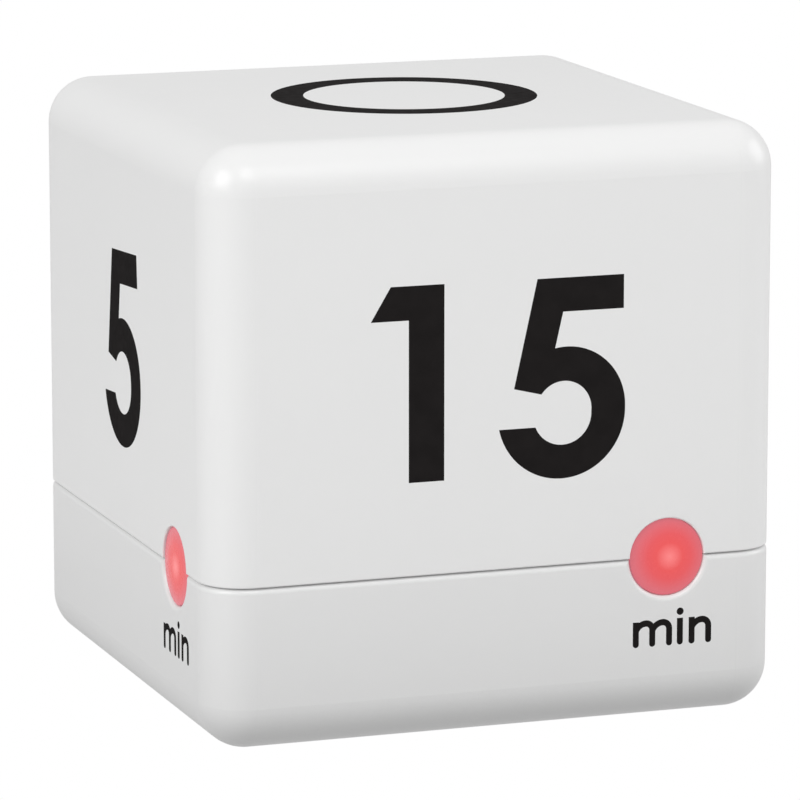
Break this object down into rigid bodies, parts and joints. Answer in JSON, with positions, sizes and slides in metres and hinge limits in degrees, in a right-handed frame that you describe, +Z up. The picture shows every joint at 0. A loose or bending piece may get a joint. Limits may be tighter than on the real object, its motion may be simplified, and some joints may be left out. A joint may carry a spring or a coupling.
{
  "type": "cube countdown timer",
  "caption": "Rounded white cube kitchen timer with printed minute numbers, red signal lenses across a seam, base display and battery door.",
  "frame": {"origin": "centre of the base, on the surface the timer stands on", "axes": "+Z up through the top face with the ring, -Y out of the 15-minute face, -X out of the 5-minute face"},
  "size_m": [0.0636, 0.0636, 0.0635],
  "materials": {
    "white_plastic": "satin gloss, smooth moulded",
    "red_lens": "translucent, gloss",
    "black_ink": "pad printed, satin",
    "steel": "nickel plated",
    "ball_steel": "polished",
    "cell_case": "printed foil sleeve",
    "board": "solder mask",
    "black_plastic": "moulded",
    "gloss_black": "gloss",
    "grey_plastic": "moulded",
    "rubber": "soft",
    "display_glass": "polarised",
    "clear_window": "clear",
    "led_red": "clear red epoxy",
    "tinned": "tinned",
    "brass": "plated"
  },
  "bodies": {
    "case": {"battery_1": "cell_case", "battery_2": "cell_case", "bridge_contact": "steel", "buzzer_case": "black_plastic", "buzzer_disc": "brass", "buzzer_gasket": "rubber", "capacitor": "gloss_black", "case_screws": "steel", "chip_blob": "gloss_black", "chip_parts": "black_plastic", "crystal_can": "steel", "display_board": "board", "display_board_screws": "steel", "lcd_frame": "grey_plastic", "lcd_front_glass": "display_glass", "lcd_gasket": "rubber", "lcd_rear_glass": "display_glass", "lcd_window": "clear_window", "led_15": "led_red", "led_30": "led_red", "led_5": "led_red", "led_60": "led_red", "led_leads": "tinned", "legend_15": "black_ink", "legend_30": "black_ink", "legend_5": "black_ink", "legend_60": "black_ink", "legend_min": "black_ink", "legend_ring": "black_ink", "lens_15": "red_lens", "lens_30": "red_lens", "lens_5": "red_lens", "lens_60": "red_lens", "link_header": "black_plastic", "link_pins": "brass", "lower_shell": "white_plastic", "main_board": "board", "main_board_screws": "steel", "negative_contact": "steel", "positive_contact": "steel", "spring_1": "steel", "spring_2": "steel", "switch_housing": "steel", "tilt_pins_x": "tinned", "tilt_pins_y": "tinned", "tilt_plugs_x": "black_plastic", "tilt_plugs_y": "black_plastic", "tilt_tube_x": "brass", "tilt_tube_y": "brass", "upper_shell": "white_plastic", "zebra_strips": "rubber"},
    "battery_door": {"battery_door": "white_plastic", "door_foam": "rubber"},
    "sound_switch": {"switch_knob": "black_plastic", "switch_slider": "black_plastic"},
    "tilt_ball_x": {"tilt_ball_x": "ball_steel"},
    "tilt_ball_y": {"tilt_ball_y": "ball_steel"}
  },
  "joints": [
    {"name": "door_hinge", "type": "hinge", "parent": "case", "child": "battery_door", "pos_m": [0, -0.0208, 0], "axis": [-1, 0, 0], "range_deg": [0, 60]},
    {"name": "sound_switch_slide", "type": "slide", "parent": "case", "child": "sound_switch", "axis": [1, 0, 0], "range_m": [-0.0015, 0.0015]},
    {"name": "tilt_ball_x_roll", "type": "slide", "parent": "case", "child": "tilt_ball_x", "axis": [1, 0, 0], "range_m": [-0.0018, 0.0018]},
    {"name": "tilt_ball_y_roll", "type": "slide", "parent": "case", "child": "tilt_ball_y", "axis": [0, 1, 0], "range_m": [-0.0018, 0.0018]}
  ]
}
